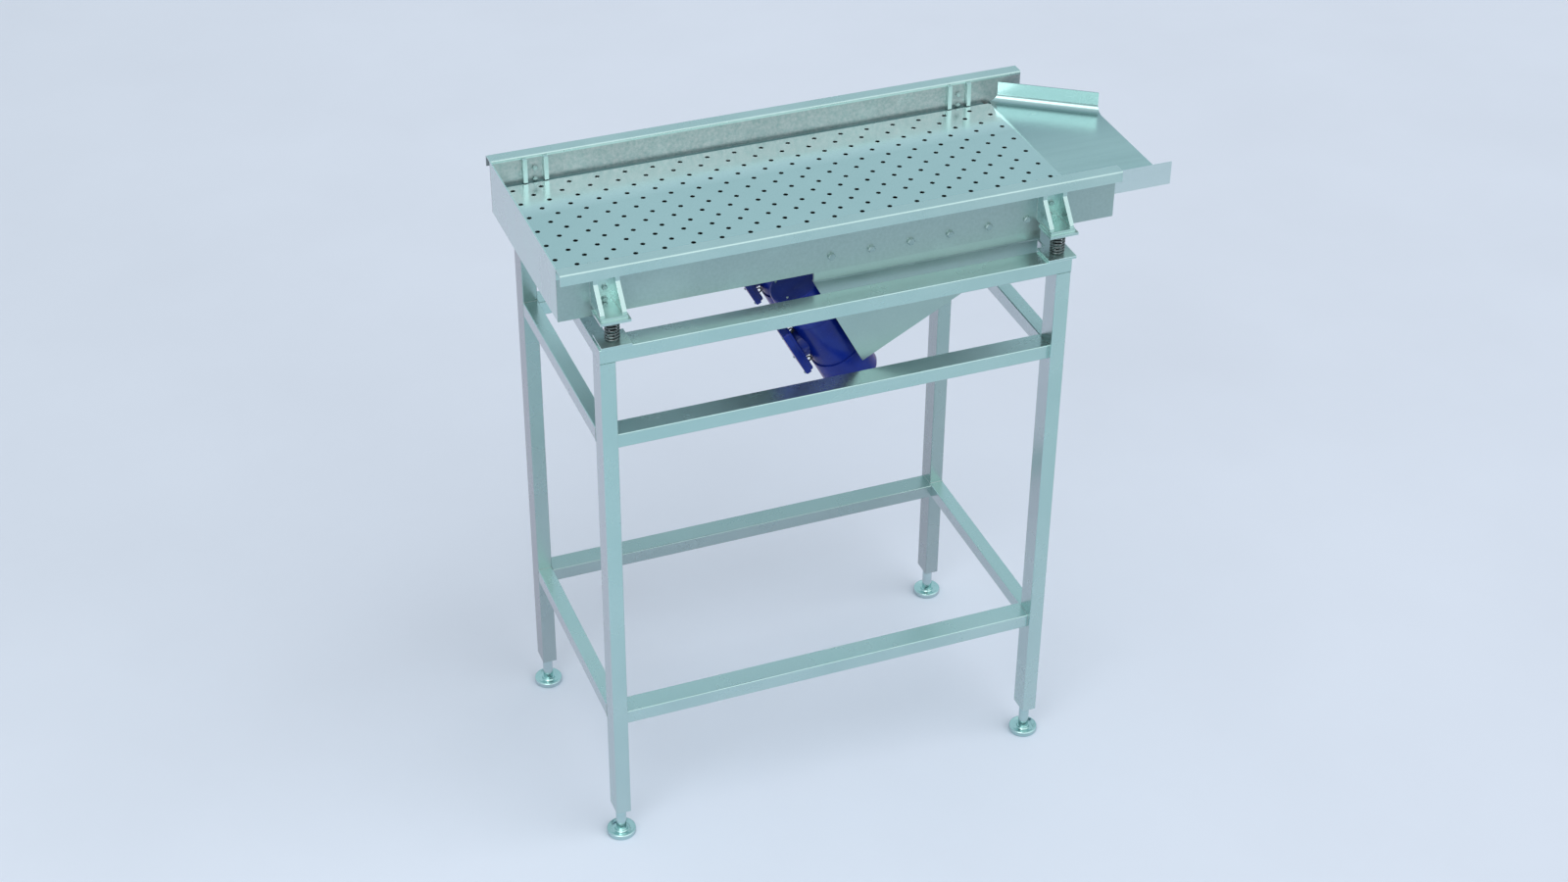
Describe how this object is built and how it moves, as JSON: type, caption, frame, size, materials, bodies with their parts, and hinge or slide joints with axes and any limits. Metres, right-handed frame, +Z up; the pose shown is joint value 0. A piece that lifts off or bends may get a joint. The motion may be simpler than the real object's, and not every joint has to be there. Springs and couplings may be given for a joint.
{
  "type": "linear vibratory feeder",
  "caption": "Tall welded tube stand carrying a spring-mounted perforated trough with a tapering discharge chute, thrown forward by out-of-balance motors below.",
  "frame": {"origin": "on the floor, below the centre of the whole machine's box", "axes": "+X the way the product travels, +Y across the trough to the back, +Z up"},
  "size_m": [1.625, 0.759, 1.752],
  "materials": {
    "stand_steel": "satin",
    "tray_steel": "satin",
    "foot_steel": "polished",
    "bolt_steel": "satin",
    "plain_steel": "machined",
    "spring_steel": "semi-gloss",
    "motor_paint": "gloss",
    "black_parts": "satin"
  },
  "bodies": {
    "stand": {"leg_front_left": "stand_steel", "leg_front_right": "stand_steel", "leg_back_left": "stand_steel", "leg_back_right": "stand_steel", "top_rail_front": "stand_steel", "top_rail_back": "stand_steel", "top_rail_left": "stand_steel", "top_rail_right": "stand_steel", "middle_rail_front": "stand_steel", "middle_rail_back": "stand_steel", "middle_rail_left": "stand_steel", "middle_rail_right": "stand_steel", "lower_rail_front": "stand_steel", "lower_rail_back": "stand_steel", "lower_rail_left": "stand_steel", "lower_rail_right": "stand_steel", "leg_inserts": "plain_steel", "spring_seat_front_left": "stand_steel", "spring_seat_front_right": "stand_steel", "spring_seat_back_left": "stand_steel", "spring_seat_back_right": "stand_steel", "spring_front_left": "spring_steel", "spring_front_right": "spring_steel", "spring_back_left": "spring_steel", "spring_back_right": "spring_steel"},
    "tray": {"bracket_front_left": "tray_steel", "bracket_front_right": "tray_steel", "bracket_back_left": "tray_steel", "bracket_back_right": "tray_steel", "trough_side_front": "tray_steel", "trough_side_back": "tray_steel", "trough_end_wall": "tray_steel", "fines_pan": "tray_steel", "perforated_deck": "tray_steel", "deck_ledges": "tray_steel", "discharge_chute": "tray_steel", "bracket_bolts": "bolt_steel", "cheek_bolts": "bolt_steel", "motor_cheek_front": "tray_steel", "motor_cheek_back": "tray_steel", "motor_plate": "tray_steel", "motor_housing_front": "motor_paint", "motor_housing_back": "motor_paint", "end_covers_front": "motor_paint", "end_covers_back": "motor_paint", "bearing_flanges": "motor_paint", "terminal_lids": "motor_paint", "stator_cores": "plain_steel", "motor_bearings": "bolt_steel", "motor_bolts": "bolt_steel", "cable_glands": "black_parts", "lifting_eyes": "black_parts"},
    "rotor_front": {"rotor_shaft_front": "plain_steel", "eccentric_weights_front": "plain_steel"},
    "rotor_back": {"rotor_shaft_back": "plain_steel", "eccentric_weights_back": "plain_steel"},
    "foot_front_left": {"foot_front_left": "foot_steel"},
    "foot_front_right": {"foot_front_right": "foot_steel"},
    "foot_back_left": {"foot_back_left": "foot_steel"},
    "foot_back_right": {"foot_back_right": "foot_steel"}
  },
  "joints": [
    {"name": "tray_throw", "type": "slide", "parent": "stand", "child": "tray", "axis": [0.8829, 0, 0.4695], "range_m": [-0.004, 0.004], "stiffness_N_per_m": 80000, "springref_m": 0.00831, "deforming": ["spring_front_left", "spring_front_right", "spring_back_left", "spring_back_right"]},
    {"name": "rotor_front_spin", "type": "hinge", "parent": "tray", "child": "rotor_front", "pos_m": [-0.0887, -0.179, 1.37668], "axis": [-0.4695, 0, 0.8829], "continuous": true},
    {"name": "rotor_back_spin", "type": "hinge", "parent": "tray", "child": "rotor_back", "pos_m": [-0.0887, 0.179, 1.37668], "axis": [-0.4695, 0, 0.8829], "continuous": true},
    {"name": "foot_front_left_height", "type": "slide", "parent": "stand", "child": "foot_front_left", "axis": [0, 0, 1], "range_m": [-0.025, 0.015]},
    {"name": "foot_front_right_height", "type": "slide", "parent": "stand", "child": "foot_front_right", "axis": [0, 0, 1], "range_m": [-0.025, 0.015]},
    {"name": "foot_back_left_height", "type": "slide", "parent": "stand", "child": "foot_back_left", "axis": [0, 0, 1], "range_m": [-0.025, 0.015]},
    {"name": "foot_back_right_height", "type": "slide", "parent": "stand", "child": "foot_back_right", "axis": [0, 0, 1], "range_m": [-0.025, 0.015]}
  ],
  "couplings": [
    {"joint": "rotor_back_spin", "follows": "rotor_front_spin", "ratio": -1}
  ]
}
